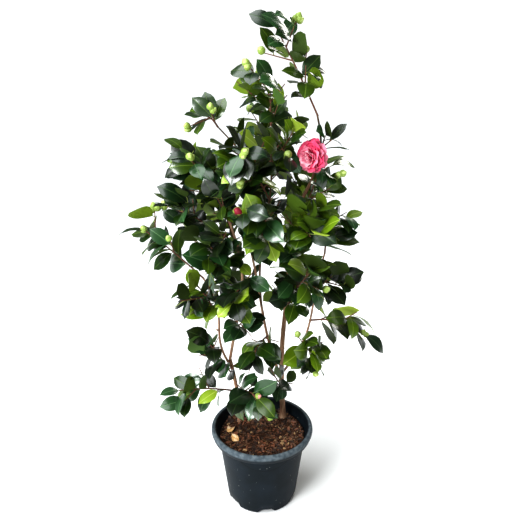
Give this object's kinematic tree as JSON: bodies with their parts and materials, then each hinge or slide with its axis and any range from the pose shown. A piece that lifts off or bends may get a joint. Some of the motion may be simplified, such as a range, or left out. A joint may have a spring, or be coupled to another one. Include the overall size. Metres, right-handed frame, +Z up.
{
  "type": "potted camellia shrub",
  "caption": "Upright evergreen camellia shrub with bare slender stems, a tall leafy crown with round buds and an open double flower, in a round tapered nursery pot.",
  "frame": {"origin": "middle of the pot's flat underside", "axes": "+Z up, +X to the right of the plant's front, the front looks along -Y"},
  "size_m": [0.5682, 0.35, 1.0913],
  "materials": {
    "pot_plastic": "satin dark slate-grey moulded plastic",
    "potting_soil": "moist dark brown bark compost",
    "bark": "matte grey-brown bark, reddish on young boughs",
    "foliage": "glossy leathery deep green leaves, paler buds",
    "blossom": "soft rose-pink petals"
  },
  "bodies": {
    "root": {"pot": "pot_plastic", "potting_soil": "potting_soil", "left_stem": "bark", "right_stem": "bark", "left_leader": "bark", "left_bough": "bark", "centre_bough": "bark", "centre_leader": "bark", "upper_left_bough": "bark", "right_low_bough": "bark", "long_shoot": "bark", "top_spray": "foliage", "crest": "foliage", "shoulder_spray": "foliage", "upper_left_spray": "foliage", "front_crown": "foliage", "heart_crown": "foliage", "left_crown": "foliage", "right_crown": "foliage", "back_crown": "foliage", "left_side": "foliage", "left_spray": "foliage", "left_middle": "foliage", "left_back": "foliage", "centre_front": "foliage", "centre_back": "foliage", "right_front": "foliage", "right_back": "foliage", "right_side": "foliage", "right_middle": "foliage", "left_low": "foliage", "inner_low": "foliage", "right_low": "foliage", "right_low_back": "foliage", "low_back": "foliage", "drooping_spray": "foliage", "low_left": "foliage", "low_inner": "foliage", "low_centre": "foliage", "low_right": "foliage", "bottom_left_spray": "foliage", "bottom_front": "foliage", "bottom_right": "foliage", "flower_spray": "blossom"}
  },
  "joints": []
}
